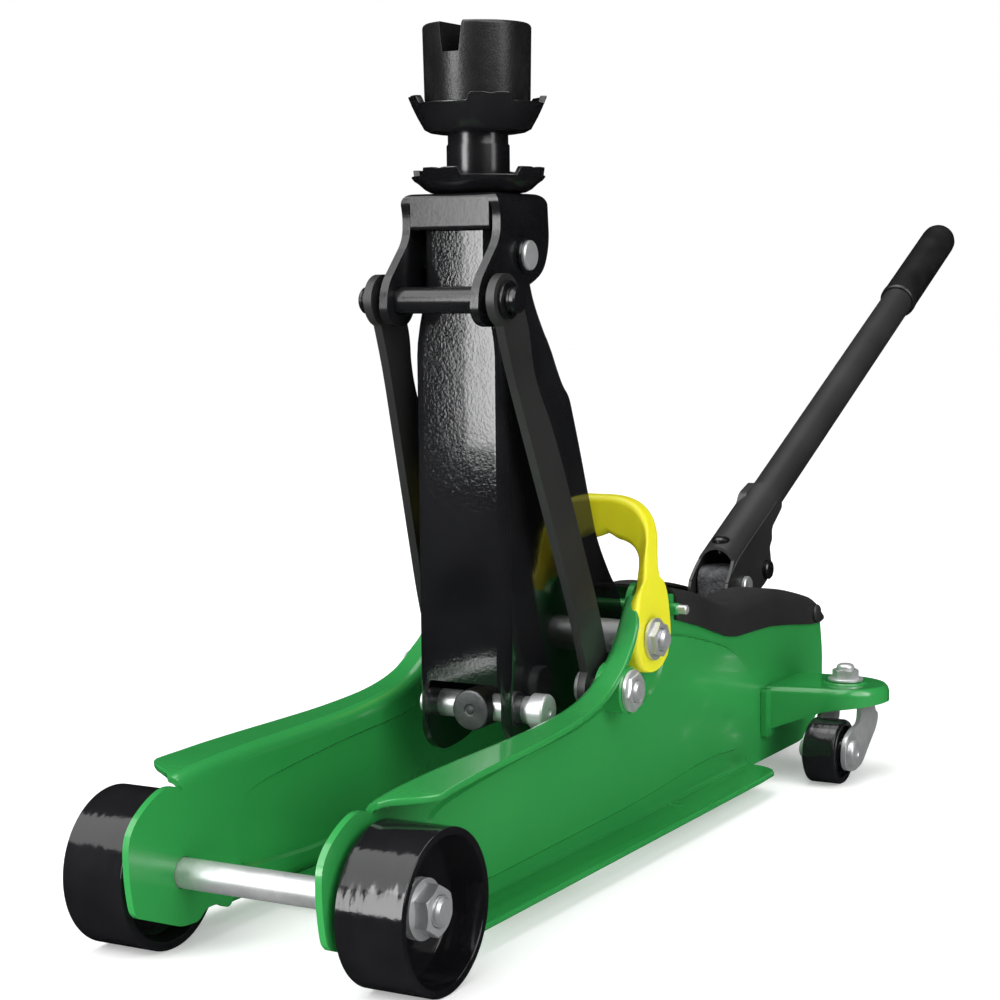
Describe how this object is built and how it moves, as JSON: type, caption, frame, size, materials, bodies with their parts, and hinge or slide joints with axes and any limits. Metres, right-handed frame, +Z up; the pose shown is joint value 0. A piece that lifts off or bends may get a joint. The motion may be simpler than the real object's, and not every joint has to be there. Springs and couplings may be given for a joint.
{
  "type": "hydraulic trolley jack",
  "caption": "Compact hydraulic trolley jack with a levelling saddle, height adapter, carry handle and pump lever.",
  "frame": {"origin": "on the floor, under the middle of the whole jack's footprint", "axes": "+Z up, +Y from the front wheels towards the pump lever, +X across the wheels"},
  "size_m": [0.215, 0.8726, 0.383],
  "materials": {
    "green_paint": "gloss green paint",
    "black_paint": "gloss black paint with light orange peel",
    "satin_black": "satin black paint",
    "zinc_steel": "bright zinc plate",
    "yellow_plastic": "moulded yellow plastic",
    "black_rubber": "matte black rubber",
    "wheel_plastic": "gloss black moulding",
    "cast_iron": "rough dark casting"
  },
  "bodies": {
    "frame": {"side_plate_left": "green_paint", "side_plate_right": "green_paint", "front_floor_plate": "green_paint", "rear_floor_plate": "green_paint", "front_axle": "zinc_steel", "axle_washer_left": "zinc_steel", "axle_washer_right": "zinc_steel", "axle_nut_left": "zinc_steel", "axle_nut_right": "zinc_steel", "main_pivot_shaft": "zinc_steel", "pivot_nut_left": "zinc_steel", "pivot_nut_right": "zinc_steel", "link_bolt_left": "zinc_steel", "link_bolt_right": "zinc_steel", "link_nut_left": "zinc_steel", "link_nut_right": "zinc_steel", "spring_anchor_rod": "green_paint", "trunnion_rod": "black_paint", "carry_handle": "yellow_plastic", "rear_cover": "satin_black", "castor_bracket_left": "green_paint", "castor_bracket_right": "green_paint", "kingpin_left": "zinc_steel", "kingpin_right": "zinc_steel", "kingpin_nut_left": "zinc_steel", "kingpin_nut_right": "zinc_steel"},
    "arm": {"lift_arm": "black_paint", "ram_pin": "zinc_steel", "ram_pin_clip": "zinc_steel"},
    "links": {"levelling_link_left": "satin_black", "levelling_link_right": "satin_black"},
    "bracket": {"saddle_bracket": "black_paint", "arm_top_pin": "zinc_steel", "link_pin": "black_paint", "link_pin_clip_left": "zinc_steel", "link_pin_clip_right": "zinc_steel"},
    "saddle": {"saddle_dish": "black_paint"},
    "adapter": {"extension_adapter": "black_paint", "rubber_pad": "black_rubber"},
    "power_unit": {"pump_block": "cast_iron", "reservoir_tube": "satin_black", "gland_nut": "black_paint", "lever_pivot_pin": "zinc_steel"},
    "ram": {"ram_rod": "zinc_steel"},
    "plunger": {"pump_plunger": "zinc_steel"},
    "release_valve": {"release_valve": "zinc_steel"},
    "lever": {"handle_socket": "satin_black", "roller_pin": "zinc_steel", "socket_screw": "zinc_steel", "handle_tube": "satin_black", "handle_grip": "black_rubber"},
    "front_wheel_left": {"front_wheel_left": "wheel_plastic"},
    "castor_left": {"castor_fork_left": "zinc_steel", "castor_axle_left": "zinc_steel"},
    "castor_wheel_left": {"castor_wheel_left": "wheel_plastic"},
    "front_wheel_right": {"front_wheel_right": "wheel_plastic"},
    "castor_right": {"castor_fork_right": "zinc_steel", "castor_axle_right": "zinc_steel"},
    "castor_wheel_right": {"castor_wheel_right": "wheel_plastic"}
  },
  "joints": [
    {"name": "arm_lift", "type": "hinge", "parent": "frame", "child": "arm", "pos_m": [0, -0.16605, 0.1003], "axis": [-1, 0, 0], "range_deg": [-71.5, 0]},
    {"name": "bracket_level", "type": "hinge", "parent": "arm", "child": "bracket", "pos_m": [0, -0.23355, 0.2805], "axis": [-1, 0, 0], "range_deg": [0, 71.5]},
    {"name": "link_swing", "type": "hinge", "parent": "frame", "child": "links", "pos_m": [0, -0.19705, 0.081], "axis": [-1, 0, 0], "range_deg": [-71.5, 0]},
    {"name": "unit_tilt", "type": "hinge", "parent": "frame", "child": "power_unit", "pos_m": [0, 0.06445, 0.08], "axis": [-1, 0, 0], "range_deg": [-11.92, 0]},
    {"name": "ram_pivot", "type": "hinge", "parent": "arm", "child": "ram", "pos_m": [0, -0.23255, 0.0753], "axis": [-1, 0, 0], "range_deg": [0, 59.78]},
    {"name": "lever_pump", "type": "hinge", "parent": "power_unit", "child": "lever", "pos_m": [0, 0.04845, 0.095], "axis": [1, 0, 0], "range_deg": [0, 40]},
    {"name": "plunger_stroke", "type": "slide", "parent": "power_unit", "child": "plunger", "axis": [0, -0.0279, 0.9996], "range_m": [0, 0.018]},
    {"name": "release_turn", "type": "hinge", "parent": "power_unit", "child": "release_valve", "pos_m": [-0.013, 0.06484, 0.066], "axis": [0, 0.9996, 0.0279], "range_deg": [0, 180]},
    {"name": "saddle_turn", "type": "hinge", "parent": "bracket", "child": "saddle", "pos_m": [0, -0.23005, 0.31], "axis": [0, 0, 1], "continuous": true},
    {"name": "adapter_lift", "type": "slide", "parent": "saddle", "child": "adapter", "axis": [0, 0, 1], "range_m": [0, 0.016]},
    {"name": "front_wheel_left_spin", "type": "hinge", "parent": "frame", "child": "front_wheel_left", "pos_m": [0, -0.40055, 0.0325], "axis": [1, 0, 0], "continuous": true},
    {"name": "castor_left_swivel", "type": "hinge", "parent": "frame", "child": "castor_left", "pos_m": [-0.0815, 0.02345, 0.045], "axis": [0, 0, -1], "range_deg": [0, 180]},
    {"name": "castor_left_spin", "type": "hinge", "parent": "castor_left", "child": "castor_wheel_left", "pos_m": [-0.0815, -0.00155, 0.0172], "axis": [1, 0, 0], "continuous": true},
    {"name": "front_wheel_right_spin", "type": "hinge", "parent": "frame", "child": "front_wheel_right", "pos_m": [0, -0.40055, 0.0325], "axis": [1, 0, 0], "continuous": true},
    {"name": "castor_right_swivel", "type": "hinge", "parent": "frame", "child": "castor_right", "pos_m": [0.0815, 0.02345, 0.045], "axis": [0, 0, 1], "range_deg": [0, 180]},
    {"name": "castor_right_spin", "type": "hinge", "parent": "castor_right", "child": "castor_wheel_right", "pos_m": [0.0815, -0.00155, 0.0172], "axis": [1, 0, 0], "continuous": true}
  ],
  "couplings": [
    {"joint": "bracket_level", "follows": "arm_lift", "ratio": -1},
    {"joint": "link_swing", "follows": "arm_lift", "ratio": 1},
    {"joint": "unit_tilt", "follows": "arm_lift", "ratio": 0.16525},
    {"joint": "ram_pivot", "follows": "arm_lift", "ratio": -0.83475},
    {"joint": "plunger_stroke", "follows": "lever_pump", "m_per_rad": 0.025782}
  ]
}
